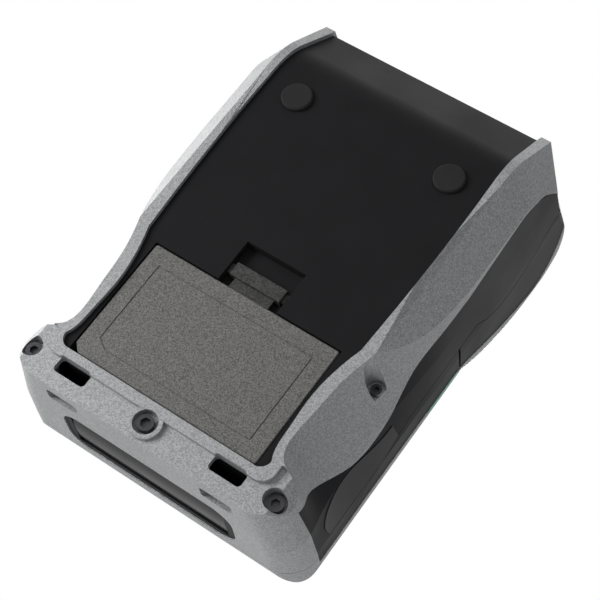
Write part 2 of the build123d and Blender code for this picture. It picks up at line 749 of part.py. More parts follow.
latch_pivot = (0.0, 38.0)
latch_x = (-50.5, -48.7)
with BuildPart() as cover_latch:
    with BuildSketch(Plane.YZ.offset(latch_x[0])):
        with BuildLine():
            Polyline(
                (-3.2, 35.5),
                (2.6, 35.0),
                (10.2, 46),
                (10.2, 52.6),
                (13.4, 52.6),
                (12.2, 54.2),
                (6.5, 54.2),
                (4.6, 47.5),
                (-3.2, 41),
                close=True,
            )
        make_face()
        with Locations(latch_pivot):
            Circle(bearing_radius, mode=Mode.SUBTRACT)
    extrude(amount=latch_x[1] - latch_x[0])
cover_latch.part.label = "cover_latch"
export_step(cover_latch.part, "parts/cover_latch.step")

# Front bezel with the connector door
bezel_inner_half = 32.0
bezel_inner_z = (23.8, 42.0)
bezel_ring_y = -91.0
bezel_flange_y = (-89.0, -87.0)
door_half = 31.75
door_axis = (-89.6, 25.2)
door_pin_radius = 0.8
door_top_z = 41.85
board_y = (-83.2, -81.8)

with BuildPart() as front_bezel:
    add(plain_block((-38.5, bezel_flange_y[0], 18.2), (38.5, bezel_flange_y[1], 47.5)))
    add(window_prism(fit_gap, bezel_ring_y, bezel_flange_y[1]))
    add(plain_block((-5, bezel_flange_y[0], centre_boss_top + 0.1), (5, -81, 19)))
    for low, high in ((-34.0, -32.0), (32.0, 34.0)):
        add(plain_block((low, bezel_flange_y[1] - 0.5, 22), (high, board_y[1], 44)))
    low, high = (-bezel_inner_half, -95, bezel_inner_z[0]), (bezel_inner_half, -86.5, bezel_inner_z[1])
    add(plain_block(low, high), mode=Mode.SUBTRACT)
    with Locations(Plane.YZ.offset(-33.5)):
        with Locations(door_axis):
            Cylinder(door_pin_radius + running_gap, 67, align=(Align.CENTER, Align.CENTER, Align.MIN), mode=Mode.SUBTRACT)
    with Locations((*centre_screw, 0)):
        Cylinder(thread_radius + thread_clearance, 19.5, align=(Align.CENTER, Align.CENTER, Align.MIN), mode=Mode.SUBTRACT)
front_bezel.part.label = "front_bezel"
export_step(front_bezel.part, "parts/front_bezel.step")

with BuildPart() as port_door:
    with BuildSketch(Plane.YZ.offset(-door_half)):
        with BuildLine():
            inner, outer_face = door_axis[0] + 1.0, door_axis[0] - 1.0
            Line((outer_face, door_axis[1]), (inner, door_axis[1]))
            Line((inner, door_axis[1]), (inner, door_top_z))
            Line((inner, door_top_z), (outer_face + 0.3, door_top_z))
            ThreePointArc((outer_face + 0.3, door_top_z), (outer_face - 0.35, 34), (outer_face, door_axis[1]))
        make_face()
        with Locations(door_axis):
            Circle(1.0)
    extrude(amount=2 * door_half)
    with Locations(Plane.YZ.offset(-33.3)):
        with Locations(door_axis):
            Cylinder(door_pin_radius, 66.6, align=(Align.CENTER, Align.CENTER, Align.MIN))
port_door.part.label = "port_door"
export_step(port_door.part, "parts/port_door.step")

with BuildPart() as port_board:
    add(plain_block((-31.8, board_y[0], 22.5), (31.8, board_y[1], 43.5)))
port_board.part.label = "port_board"
export_step(port_board.part, "parts/port_board.step")

socket_front_y = -88.0
with BuildPart() as usb_socket:
    add(plain_block((-24, socket_front_y, 30), (-14, board_y[0], 34.4)))
    add(plain_block((-23.3, socket_front_y - 1, 30.7), (-14.7, -84.5, 33.7)), mode=Mode.SUBTRACT)
    add(plain_block((-22.2, -87.2, 31.7), (-15.8, -84, 32.6)))
usb_socket.part.label = "usb_socket"
export_step(usb_socket.part, "parts/usb_socket.step")

with BuildPart() as charge_inlet:
    add(plain_block((-5, socket_front_y, 28), (5, board_y[0], 37.5)))
    with Locations(Plane.XZ.offset(84.4)):
        with Locations((0, 32.75)):
            Cylinder(3.1, 4, align=(Align.CENTER, Align.CENTER, Align.MIN), mode=Mode.SUBTRACT)
            Cylinder(0.9, 3, align=(Align.CENTER, Align.CENTER, Align.MIN))
charge_inlet.part.label = "charge_inlet"
export_step(charge_inlet.part, "parts/charge_inlet.step")

with BuildPart() as serial_socket:
    add(plain_block((12, socket_front_y, 29.5), (26, board_y[0], 36)))
    add(plain_block((13, socket_front_y - 1, 30.5), (25, -84.6, 35)), mode=Mode.SUBTRACT)
    add(plain_block((14.5, -87, 32), (23.5, -84, 33.5)))
serial_socket.part.label = "serial_socket"
export_step(serial_socket.part, "parts/serial_socket.step")

# Control panel on top with the display and three keys
panel_top_z = 59.95
panel_plate_z = 57.5
panel_flange_z = 56.0
lens_half = 28.0
lens_y = (-66.0, -34.0)
lens_low_z = 58.9
key_y = -18.0
key_places = {"power_key": -28.0, "feed_key": 0.0, "menu_key": 28.0}
key_size = (17.9, 8.9)
key_top_z = 60.6
light_places = ((-6.0, -29.5), (0.0, -29.5), (6.0, -29.5))
light_radius = 1.2
key_board_z = (53.4, 55.0)

with BuildPart() as control_panel:
    half = control_half - fit_gap
    add(plain_block((-half, control_y[0] + fit_gap, panel_flange_z), (half, control_y[1] - fit_gap, panel_top_z)))
    add(plain_block((-46.5, control_y[0] - 2.5, panel_flange_z), (46.5, control_y[1] + 1.9, panel_plate_z)))
    add(plain_block((-41, -69, panel_flange_z - 1), (41, -3, panel_plate_z)), mode=Mode.SUBTRACT)
    add(plain_block((-lens_half, lens_y[0], lens_low_z), (lens_half, lens_y[1], 61)), mode=Mode.SUBTRACT)
    add(plain_block((-24.5, -62, 55), (24.5, -38, 61)), mode=Mode.SUBTRACT)
    with BuildSketch(Plane.XY.offset(55)):
        with Locations(*[(x, key_y) for x in key_places.values()]):
            RectangleRounded(key_size[0] + 0.5, key_size[1] + 0.5, 2.4)
        with Locations(*light_places):
            Circle(light_radius + 0.05)
    extrude(amount=7, mode=Mode.SUBTRACT)
    with Locations(*[(x, y, key_board_z[1]) for x in (-38.6, 38.6) for y in (-29, -8)]):
        Cylinder(1.6, 3, align=(Align.CENTER, Align.CENTER, Align.MIN))
control_panel.part.label = "control_panel"
export_step(control_panel.part, "parts/control_panel.step")

with BuildPart() as display_lens:
    half = lens_half - 0.1
    add(plain_block((-half, lens_y[0] + 0.1, lens_low_z), (half, lens_y[1] - 0.1, panel_top_z - 0.05)))
display_lens.part.label = "display_lens"
export_step(display_lens.part, "parts/display_lens.step")

with BuildPart() as display_module:
    add(plain_block((-27, -64.5, 53.2), (27, -35.5, 57.3)))
display_module.part.label = "display_module"
export_step(display_module.part, "parts/display_module.step")

with BuildPart() as light_pipes:
    with Locations(*[(x, y, key_board_z[1]) for x, y in light_places]):
        Cylinder(light_radius, panel_top_z - key_board_z[1], align=(Align.CENTER, Align.CENTER, Align.MIN))
light_pipes.part.label = "light_pipes"
export_step(light_pipes.part, "parts/light_pipes.step")


def key_cap(x):
    """Key cap with the flange that keeps it under the panel."""
    with BuildPart() as cap:
        with BuildSketch(Plane.XY.offset(panel_flange_z)):
            with Locations((x, key_y)):
                RectangleRounded(key_size[0] + 2.6, key_size[1] + 2.6, 3)
        extrude(amount=panel_plate_z - 0.1 - panel_flange_z)
        with BuildSketch(Plane.XY.offset(panel_flange_z)):
            with Locations((x, key_y)):
                RectangleRounded(*key_size, 2.2)
        extrude(amount=key_top_z - panel_flange_z)
        chamfer(cap.faces().sort_by(Axis.Z)[-1].edges(), 0.4)
    return cap.part


with BuildPart() as power_key:
    add(key_cap(key_places["power_key"]))
power_key.part.label = "power_key"
export_step(power_key.part, "parts/power_key.step")

with BuildPart() as feed_key:
    add(key_cap(key_places["feed_key"]))
feed_key.part.label = "feed_key"
export_step(feed_key.part, "parts/feed_key.step")

with BuildPart() as menu_key:
    add(key_cap(key_places["menu_key"]))
menu_key.part.label = "menu_key"
export_step(menu_key.part, "parts/menu_key.step")

with BuildPart() as key_board:
    add(plain_block((-40.5, -31.5, key_board_z[0]), (40.5, -5.5, key_board_z[1])))
key_board.part.label = "key_board"
export_step(key_board.part, "parts/key_board.step")

# Battery, its contacts and its latch
battery_rear_y = battery_front_y + battery_length
battery_top_z = battery_face_z + battery_height
battery_chamfer = 3.0
groove_outline = [(31.9, -36.3), (-31.4, -36.3), (-31.4, -71.5), (27.6, -71.5), (31.9, -68.5)]
groove_width = 0.45
groove_depth = 0.3
notch_half = 8.5
notch_z = (3.1, 5.9)
notch_depth = 1.55

with BuildPart() as battery_pack:
    with BuildSketch(Plane.XY.offset(battery_face_z)):
        half = battery_width / 2
        with BuildLine():
            Polyline(
                (-half, battery_front_y),
                (half - battery_chamfer, battery_front_y),
                (half, battery_front_y + battery_chamfer),
                (half, battery_rear_y),
                (-half, battery_rear_y),
                close=True,
            )
        make_face()
    extrude(amount=battery_height)
    fillet(battery_pack.edges().filter_by(Axis.Z), 0.8)
    chamfer(battery_pack.faces().sort_by(Axis.Z)[0].edges(), 0.35)
    with BuildSketch(Plane.XY.offset(battery_face_z - 1)):
        with BuildLine():
            Polyline(*groove_outline, close=True)
        make_face()
        with BuildLine():
            Polyline(*moved_in(groove_outline, groove_width), close=True)
        make_face(mode=Mode.SUBTRACT)
    extrude(amount=1 + groove_depth, mode=Mode.SUBTRACT)
    low = (-notch_half, battery_rear_y - notch_depth, notch_z[0])
    add(plain_block(low, (notch_half, battery_rear_y + 1, notch_z[1])), mode=Mode.SUBTRACT)
battery_pack.part.label = "battery_pack"
export_step(battery_pack.part, "parts/battery_pack.step")

contact_places = (-12.0, -4.0, 4.0, 12.0)
with BuildPart() as battery_contacts:
    for x in contact_places:
        add(plain_block((x - 0.6, -72, battery_top_z + 0.05), (x + 0.6, -67, battery_top_z + 0.85)))
        add(plain_block((x - 0.6, -68.2, battery_top_z + 0.05), (x + 0.6, -67, 29.5)))
battery_contacts.part.label = "battery_contacts"
export_step(battery_contacts.part, "parts/battery_contacts.step")

latch_bar_half = 10.2
latch_bar_y = (-25.8, -20.6)
with BuildPart() as battery_latch:
    add(plain_block((-latch_bar_half, latch_bar_y[0], 1.9), (latch_bar_half, latch_bar_y[1], recess_floor - 0.2)))
    chamfer(battery_latch.faces().sort_by(Axis.Z)[0].edges(), 0.3)
    add(plain_block((-latch_slot_half + 0.2, -25, 3.6), (latch_slot_half - 0.2, -21.4, 5.0)))
    add(plain_block((-8, battery_rear_y - 1.35, 3.3), (8, latch_bar_y[0] + 1, 5.1)))
battery_latch.part.label = "battery_latch"
export_step(battery_latch.part, "parts/battery_latch.step")

with BuildPart() as rubber_feet:
    with Locations(*[(x, y, 0) for x, y in side_pair(*foot_place)]):
        Cylinder(foot_radius, foot_pocket - 0.1, align=(Align.CENTER, Align.CENTER, Align.MIN))
    chamfer(rubber_feet.edges().filter_by(GeomType.CIRCLE).group_by(Axis.Z)[0], 0.5)
rubber_feet.part.label = "rubber_feet"
export_step(rubber_feet.part, "parts/rubber_feet.step")

screws = (
    (centre_screw, centre_head_radius, centre_head_z, thread_radius, 17.0, 1.9),
    (corner_screw, centre_head_radius, corner_head_z, thread_radius, 34.0, 1.6),
    ((-corner_screw[0], corner_screw[1]), centre_head_radius, corner_head_z, thread_radius, 34.0, 1.6),
    (side_screw, 2.0, side_head_z, side_thread_radius, 38.0, 1.1),
    ((-side_screw[0], side_screw[1]), 2.0, side_head_z, side_thread_radius, 38.0, 1.1),
)
with BuildPart() as case_screws:
    for (x, y), head_radius, head_z, shank_radius, shank_top, socket_radius in screws:
        with Locations((x, y, head_z[0])):
            Cylinder(head_radius, head_z[1] - head_z[0], align=(Align.CENTER, Align.CENTER, Align.MIN))
            Cylinder(shank_radius, shank_top - head_z[0], align=(Align.CENTER, Align.CENTER, Align.MIN))
        with BuildSketch(Plane.XY.offset(head_z[0])):
            with Locations((x, y)):
                RegularPolygon(socket_radius, 6)
        extrude(amount=1.5, mode=Mode.SUBTRACT)
case_screws.part.label = "case_screws"
export_step(case_screws.part, "parts/case_screws.step")

with BuildPart() as hinge_pins:
    for low in (-43.9, 21.9):
        with Locations(Plane.YZ.offset(low)):
            with Locations((hinge_y, hinge_z)):
                Cylinder(pin_radius - 0.02, 22.0, align=(Align.CENTER, Align.CENTER, Align.MIN))
hinge_pins.part.label = "hinge_pins"
export_step(hinge_pins.part, "parts/hinge_pins.step")


# Print mechanism
def gear_points(centre, teeth, first_tooth, module):
    """Outline of a spur gear with involute flanks; one tooth points along first_tooth."""
    pitch_radius = module * teeth / 2
    base_radius = pitch_radius * cos(radians(pressure_angle))
    tip_radius = pitch_radius + gear_tip * module
    root_radius = pitch_radius - 1.15 * module
    rolled = tan(radians(pressure_angle)) - radians(pressure_angle)
    half_pitch = (pi * module / 2 - backlash) / 2 / pitch_radius

    def half_angle(radius):
        if radius <= base_radius:
            return half_pitch + rolled
        angle = acos(base_radius / radius)
        return half_pitch + rolled - (tan(angle) - angle)

    start = max(base_radius, root_radius)
    radii = [root_radius] + [start + (tip_radius - start) * k / 3 for k in range(4)]
    points = []
    for tooth in range(teeth):
        middle = radians(first_tooth) + 2 * pi * tooth / teeth
        for radius in radii:
            points.append((radius, middle - half_angle(radius)))
        for radius in reversed(radii):
            points.append((radius, middle + half_angle(radius)))
    return [(centre[0] + r * cos(a), centre[1] + r * sin(a)) for r, a in points]


with BuildPart() as platen_gear:
    with BuildSketch(Plane.YZ.offset(gear_x[0])):
        with BuildLine():
            Polyline(*gear_points((platen_y, platen_z), platen_teeth, -90, gear_module), close=True)
        make_face()
        with Locations((platen_y, platen_z)):
            Circle(shaft_radius + 0.02, mode=Mode.SUBTRACT)
    extrude(amount=gear_x[1] - gear_x[0])
platen_gear.part.label = "platen_gear"
export_step(platen_gear.part, "parts/platen_gear.step")

with BuildPart() as idler_gear:
    with BuildSketch(Plane.YZ.offset(gear_x[0])):
        with BuildLine():
            Polyline(*gear_points(idler_place, idler_teeth, 90 + 180 / idler_teeth, gear_module), close=True)
        make_face()
        with Locations(idler_place):
            Circle(bearing_radius, mode=Mode.SUBTRACT)
    extrude(amount=gear_x[1] - gear_x[0])
idler_gear.part.label = "idler_gear"
export_step(idler_gear.part, "parts/idler_gear.step")

motor_shaft_radius = 1.0
with BuildPart() as motor_pinion:
    with BuildSketch(Plane.YZ.offset(gear_x[0])):
        with BuildLine():
            Polyline(*gear_points(pinion_place, pinion_teeth, 0, gear_module), close=True)
        make_face()
    extrude(amount=gear_x[1] - gear_x[0])
    with Locations(Plane.YZ.offset(36.2)):
        with Locations(pinion_place):
            Cylinder(motor_shaft_radius, 13.8, align=(Align.CENTER, Align.CENTER, Align.MIN))
motor_pinion.part.label = "motor_pinion"
export_step(motor_pinion.part, "parts/motor_pinion.step")

with BuildPart() as stepper_motor:
    with Locations(Plane.YZ.offset(29)):
        with Locations(pinion_place):
            Cylinder(10, 12.45, align=(Align.CENTER, Align.CENTER, Align.MIN))
            Cylinder(3, 13.8, align=(Align.CENTER, Align.CENTER, Align.MIN))
    with Locations(Plane.YZ.offset(36)):
        with Locations(pinion_place):
            Cylinder(motor_shaft_radius + running_gap, 10, align=(Align.CENTER, Align.CENTER, Align.MIN), mode=Mode.SUBTRACT)
stepper_motor.part.label = "stepper_motor"
export_step(stepper_motor.part, "parts/stepper_motor.step")

chassis_x = (41.5, 43.0)
cross_y = (-3.0, -1.5)
with BuildPart() as mech_chassis:
    for low, high in (chassis_x, (-chassis_x[1], -chassis_x[0])):
        add(plain_block((low, -12, 19.95), (high, 15.4, 44.9)))
    add(plain_block((-chassis_x[1], cross_y[0], 44), (chassis_x[1], cross_y[1], 52)))
    with Locations(Plane.YZ.offset(chassis_x[0] - 1)):
        with Locations(pinion_place):
            Cylinder(3.1, 4, align=(Align.CENTER, Align.CENTER, Align.MIN), mode=Mode.SUBTRACT)
    with Locations(Plane.YZ.offset(chassis_x[0])):
        with Locations(idler_place):
            Cylinder(pin_radius, 8.5, align=(Align.CENTER, Align.CENTER, Align.MIN))
    with Locations(Plane.YZ.offset(gear_x[1] + 0.2)):
        with Locations(idler_place):
            Cylinder(2.6, 0.6, align=(Align.CENTER, Align.CENTER, Align.MIN))
    with Locations(Plane.YZ.offset(-51.2)):
        with Locations(latch_pivot):
            Cylinder(pin_radius, 8.5, align=(Align.CENTER, Align.CENTER, Align.MIN))
mech_chassis.part.label = "mech_chassis"
export_step(mech_chassis.part, "parts/mech_chassis.step")

with BuildPart() as platen_roller:
    with Locations(Plane.YZ.offset(-platen_half)):
        with Locations((platen_y, platen_z)):
            Cylinder(platen_radius, 2 * platen_half, align=(Align.CENTER, Align.CENTER, Align.MIN))
            Cylinder(shaft_radius + 0.02, 100, align=(Align.CENTER, Align.CENTER, Align.MIN), mode=Mode.SUBTRACT)
platen_roller.part.label = "platen_roller"
export_step(platen_roller.part, "parts/platen_roller.step")

with BuildPart() as platen_shaft:
    with Locations(Plane.YZ.offset(-51)):
        with Locations((platen_y, platen_z)):
            Cylinder(shaft_radius, 101.4, align=(Align.CENTER, Align.CENTER, Align.MIN))
platen_shaft.part.label = "platen_shaft"
export_step(platen_shaft.part, "parts/platen_shaft.step")

with BuildPart() as platen_bushes:
    with Locations(Plane.YZ.offset(rib_x[0] - 0.5)):
        with Locations((platen_y, platen_z)):
            Cylinder(bush_radius, 3.7, align=(Align.CENTER, Align.CENTER, Align.MIN))
    with Locations(Plane.YZ.offset(rib_x[1] + 0.05)):
        with Locations((platen_y, platen_z)):
            Cylinder(bush_radius + 0.6, 0.65, align=(Align.CENTER, Align.CENTER, Align.MIN))
    with Locations(Plane.YZ.offset(rib_x[0] - 2)):
        with Locations((platen_y, platen_z)):
            Cylinder(shaft_radius + running_gap, 8, align=(Align.CENTER, Align.CENTER, Align.MIN), mode=Mode.SUBTRACT)
    mirror(about=Plane.YZ)
platen_bushes.part.label = "platen_bushes"
export_step(platen_bushes.part, "parts/platen_bushes.step")

tear_pitch = 1.5
tear_count = 58
tear_bar_y = (2.6, 5.2)
tear_tooth_y = (5.8, 6.6)
tear_bar_half = room_x[0] - 0.3
tear_end_half = 48.3
tear_end_y = platen_y - room_radius - 0.2
with BuildPart() as tear_bar:
    with BuildSketch(Plane.XY.offset(57.7)):
        with BuildLine():
            tear_half = tear_pitch * tear_count / 2
            edge = [(-tear_half, tear_bar_y[0])]
            for k in range(tear_count):
                edge.append((-tear_half + k * tear_pitch, tear_tooth_y[0]))
                edge.append((-tear_half + (k + 0.5) * tear_pitch, tear_tooth_y[1]))
            edge += [(tear_half, tear_tooth_y[0]), (tear_half, tear_bar_y[0])]
            Polyline(*edge, close=True)
        make_face()
    extrude(amount=1.6)
    add(plain_block((-tear_bar_half, tear_bar_y[0], 56.3), (tear_bar_half, tear_bar_y[1], 57.8)))
    add(plain_block((-tear_end_half, tear_bar_y[0], 56.3), (tear_end_half, tear_end_y, 57.5)))
tear_bar.part.label = "tear_bar"
export_step(tear_bar.part, "parts/tear_bar.step")

head_y = (5.3, 6.7)
with BuildPart() as print_head:
    add(plain_block((-41, head_y[0], 44.5), (41, head_y[1], 56)))
print_head.part.label = "print_head"
export_step(print_head.part, "parts/print_head.step")

with BuildPart() as head_springs:
    for low in (-28, 22):
        with BuildSketch(Plane.YZ.offset(low)):
            with BuildLine():
                Polyline(
                    (cross_y[1], 45),
                    (cross_y[1] + 0.5, 45),
                    (cross_y[1] + 0.5, 47.3),
                    (head_y[0], 50.8),
                    (head_y[0], 52),
                    (cross_y[1], 48.2),
                    close=True,
                )
            make_face()
        extrude(amount=6)
head_springs.part.label = "head_springs"
export_step(head_springs.part, "parts/head_springs.step")

with BuildPart() as label_sensor:
    add(plain_block((14, 12.5, 38), (26, media_y[0] - bay_wall, 43)))
label_sensor.part.label = "label_sensor"
export_step(label_sensor.part, "parts/label_sensor.step")

# Guides that centre the label roll
rack_z = (6.4, 8.0)
guide_pinion_place = (0.0, 46.0)
guide_module = 0.5
guide_teeth = 12
guide_x = (36.0, 38.0)
guide_outline = ((26, 6.4), (60, 6.4), (70, 15), (73, 24), (73, 56), (66, 60), (32, 60), (26, 54))
guide_radius = guide_module * guide_teeth / 2
rack_tip_x = 6.0
rack_depth = 2.6
rack_room = 0.4
rack_tip = 0.85
# Across the bay, the front rack lies between these two places, and the rear rack mirrors it
front_rack_y = (
    guide_pinion_place[1] - guide_radius - rack_depth,
    guide_pinion_place[1] - guide_radius + rack_tip * guide_module,
)
rear_rack_y = tuple(2 * guide_pinion_place[1] - y for y in reversed(front_rack_y))


def rack_points():
    """Outline of the left rack, which runs in front of the guide pinion."""
    pitch = pi * guide_module
    half_tooth = (pitch - backlash) / 4
    lean = tan(radians(pressure_angle))
    pitch_y = guide_pinion_place[1] - guide_radius
    tip_y, root_y = front_rack_y[1], pitch_y - 1.15 * guide_module
    tip_half = half_tooth - (tip_y - pitch_y) * lean
    root_half = half_tooth + (pitch_y - root_y) * lean
    last_tooth = -int(guide_x[0] / pitch - 1)
    points = [(-guide_x[0], front_rack_y[0]), (rack_tip_x, front_rack_y[0]), (rack_tip_x, root_y)]
    for k in range(int(rack_tip_x / pitch - 1), last_tooth, -1):
        middle = (k + 0.5) * pitch
        points.append((middle + root_half, root_y))
        points.append((middle + tip_half, tip_y))
        points.append((middle - tip_half, tip_y))
        points.append((middle - root_half, root_y))
    return points + [(-guide_x[0], root_y)]


def rack_passage(low_x, high_x, rack_y):
    """Notch at the foot of a guide, where the rack of the other guide runs through."""
    low = (low_x - 1, rack_y[0] - rack_room, rack_z[0] - 1)
    return plain_block(low, (high_x + 1, rack_y[1] + rack_room, rack_z[1] + rack_room))


with BuildPart() as media_guide_left:
    with BuildSketch(Plane.YZ.offset(-guide_x[1])):
        with BuildLine():
            Polyline(*guide_outline, close=True)
        make_face()
    extrude(amount=guide_x[1] - guide_x[0])
    add(rack_passage(-guide_x[1], -guide_x[0], rear_rack_y), mode=Mode.SUBTRACT)
    with BuildSketch(Plane.XY.offset(rack_z[0])):
        with BuildLine():
            Polyline(*rack_points(), close=True)
        make_face()
    extrude(amount=rack_z[1] - rack_z[0])
    with Locations(Plane.YZ.offset(-guide_x[0])):
        with Locations((49, 37)):
            Cylinder(6, 3, align=(Align.CENTER, Align.CENTER, Align.MIN))
media_guide_left.part.label = "media_guide_left"
export_step(media_guide_left.part, "parts/media_guide_left.step")

with BuildPart() as media_guide_right:
    with BuildSketch(Plane.YZ.offset(guide_x[0])):
        with BuildLine():
            Polyline(*guide_outline, close=True)
        make_face()
    extrude(amount=guide_x[1] - guide_x[0])
    add(rack_passage(*guide_x, front_rack_y), mode=Mode.SUBTRACT)
    with BuildSketch(Plane.XY.offset(rack_z[0])):
        with BuildLine():
            Polyline(*[(-x, 2 * guide_pinion_place[1] - y) for x, y in rack_points()], close=True)
        make_face()
    extrude(amount=rack_z[1] - rack_z[0])
    with Locations(Plane.YZ.offset(guide_x[0] - 3)):
        with Locations((49, 37)):
            Cylinder(6, 3, align=(Align.CENTER, Align.CENTER, Align.MIN))
media_guide_right.part.label = "media_guide_right"
export_step(media_guide_right.part, "parts/media_guide_right.step")

with BuildPart() as guide_pinion:
    with BuildSketch(Plane.XY.offset(rack_z[0])):
        with BuildLine():
            Polyline(*gear_points(guide_pinion_place, guide_teeth, -90, guide_module), close=True)
        make_face()
        with Locations(guide_pinion_place):
            Circle(motor_shaft_radius + running_gap, mode=Mode.SUBTRACT)
    extrude(amount=rack_z[1] - rack_z[0])
guide_pinion.part.label = "guide_pinion"
export_step(guide_pinion.part, "parts/guide_pinion.step")

# Circuit board over the battery
main_board_z = (29.5, 31.1)
with BuildPart() as main_board:
    add(plain_block((-40, -76, main_board_z[0]), (40, -32, main_board_z[1])))
    with Locations(*[(x, y, bay_ceiling + bay_wall) for x in (-36, 36) for y in (-73, -35)]):
        Cylinder(2, main_board_z[0] - bay_ceiling - bay_wall, align=(Align.CENTER, Align.CENTER, Align.MIN))
    chips = ((-22, -60, 14, 14, 1.6), (8, -62, 10, 7, 1.4), (24, -48, 9, 12, 2.2), (-4, -44, 12, 5, 3.5))
    for x, y, length, width, height in chips:
        add(plain_block((x, y, main_board_z[1]), (x + length, y + width, main_board_z[1] + height)))
main_board.part.label = "main_board"
export_step(main_board.part, "parts/main_board.step")
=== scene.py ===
# %% [markdown]
# # A portable label printer, seen from below
# The real object is a battery powered printer for stick-on labels. It lies with its
# underside towards the camera: a silver bumper frame runs round a black bottom panel,
# and a flat battery sits flush in it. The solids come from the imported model, one object
# for each separate piece, and their shapes are used as they are. So this script adds the
# camera, the light and the floor, and then gives every piece its own finish: paint,
# moulded grain, rubber, glass or metal.

import bpy
from mathutils import Matrix, Quaternion, Vector

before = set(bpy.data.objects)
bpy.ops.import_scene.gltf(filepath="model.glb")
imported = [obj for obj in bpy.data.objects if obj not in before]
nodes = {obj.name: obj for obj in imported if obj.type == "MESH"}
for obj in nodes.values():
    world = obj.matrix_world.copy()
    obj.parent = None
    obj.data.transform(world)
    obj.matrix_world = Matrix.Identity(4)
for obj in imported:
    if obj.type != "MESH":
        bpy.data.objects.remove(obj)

scene = bpy.context.scene
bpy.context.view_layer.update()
print("solids loaded:", len(nodes))

# %% [markdown]
# ## Camera
# The photograph was taken from below and in front with a long lens. The camera's place
# and turn were worked out from the corners of the battery, the window and the case, so
# they are plain numbers here: a point in metres, and a rotation given as an axis times
# an angle. Blender's camera looks along its own -Z with +Y up, so two of the three rows
# of the rotation change sign. The lens comes from the same fit: a focal length in
# pixels becomes millimetres when it is multiplied by the width of the sensor and
# divided by the width of the picture.

# %% Camera at the photograph's angle
camera_place = Vector((-0.19794, -0.21427, -0.47862))
camera_turn = Vector((-0.296929684, -0.598633503, -2.47852263))
focal_pixels = 1669.32
image_pixels = 600
sensor_mm = 36.0

rows = Quaternion(camera_turn.normalized(), camera_turn.length).to_matrix()
axes = Matrix((rows[0], -rows[1], -rows[2])).transposed()
lens = bpy.data.cameras.new("photo_camera")
lens.sensor_width = sensor_mm
lens.lens = sensor_mm * focal_pixels / image_pixels
lens.clip_start = 0.01
camera = bpy.data.objects.new("photo_camera", lens)
camera.matrix_world = Matrix.Translation(camera_place) @ axes.to_4x4()
scene.collection.objects.link(camera)
scene.camera = camera
print("lens, mm:", round(lens.lens, 2))

# %% [markdown]
# ## World
# The background of the photograph is plain white. One way to get that is a very bright
# backdrop, but its light would also wash out the printer. So the world has two
# strengths: it is white to the camera and to the rays that gloss and glass send out,
# which then mirror a clean background, and it is a weak, slightly blue fill to all
# other rays, which keeps the shading on the bevels.

# %% World
fill_strength = 0.22

world = bpy.data.worlds.new("studio")
scene.world = world
world.use_nodes = True
tree = world.node_tree
tree.nodes.clear()
path = tree.nodes.new("ShaderNodeLightPath")
seen = tree.nodes.new("ShaderNodeMath")
seen.operation = "MAXIMUM"
seen_through = tree.nodes.new("ShaderNodeMath")
seen_through.operation = "MAXIMUM"
tree.links.new(path.outputs["Is Camera Ray"], seen.inputs[0])
tree.links.new(path.outputs["Is Glossy Ray"], seen.inputs[1])
tree.links.new(seen.outputs[0], seen_through.inputs[0])
tree.links.new(path.outputs["Is Transmission Ray"], seen_through.inputs[1])
white = tree.nodes.new("ShaderNodeBackground")
white.inputs["Color"].default_value = (1, 1, 1, 1)
white.inputs["Strength"].default_value = 1.0
fill = tree.nodes.new("ShaderNodeBackground")
fill.inputs["Color"].default_value = (0.95, 0.97, 1.0, 1)
fill.inputs["Strength"].default_value = fill_strength
blend = tree.nodes.new("ShaderNodeMixShader")
output = tree.nodes.new("ShaderNodeOutputWorld")
tree.links.new(seen_through.outputs[0], blend.inputs["Fac"])
tree.links.new(fill.outputs[0], blend.inputs[1])
tree.links.new(white.outputs[0], blend.inputs[2])
tree.links.new(blend.outputs[0], output.inputs["Surface"])
print("fill strength:", fill_strength)

# %% [markdown]
# ## Lamps
# Soft boxes give an even light with no hard edges. The photograph is brighter on its
# left, so the key lamp stands on that side and a little below, and a weak one lights the
# underside. The others light the front, the top, the rear and the right side, because
# the printer is looked at from all round. A black side that is seen at a flat angle
# mirrors whatever stands behind it, so the top lamp keeps clear of those directions.

# %% Soft boxes
middle = Vector((0, 0, 0.035))


def soft_box(name, place, size, power):
    """A square area lamp, size in metres and power in watts, that faces the printer."""
    data = bpy.data.lights.new(name, "AREA")
    data.shape = "SQUARE"
    data.size = size
    data.energy = power
    lamp = bpy.data.objects.new(name, data)
    lamp.location = place
    lamp.rotation_euler = (middle - Vector(place)).to_track_quat("-Z", "Y").to_euler()
    scene.collection.objects.link(lamp)


soft_box("key_box", (0.50, -0.20, -0.42), size=0.35, power=5.0)
soft_box("below_box", (-0.30, 0.10, -0.75), size=0.5, power=0.8)
soft_box("front_box", (-0.35, -0.85, 0.10), size=0.5, power=2.6)
soft_box("top_box", (0.30, 0.45, 0.95), size=0.6, power=9.0)
soft_box("rear_box", (0.3, 0.85, 0.45), size=0.7, power=3.0)
soft_box("right_box", (0.85, 0.1, 0.25), size=0.6, power=3.0)
print("lamps:", len(bpy.data.lights))

# %% [markdown]
# ## Floor
# The printer stands on a pale floor, but the photograph looks up through that floor. So
# the floor's underside is transparent (Backfacing), and the floor is seen by camera rays
# only: it takes the shadow from above, and never hides the printer or darkens it. Far
# from the printer the floor gives way to the white world, so no dark horizon shows
# behind it. A smooth step on the distance from the middle does that.

# %% Floor
floor_half = 3.0
fade_start = 0.25
fade_end = 0.75

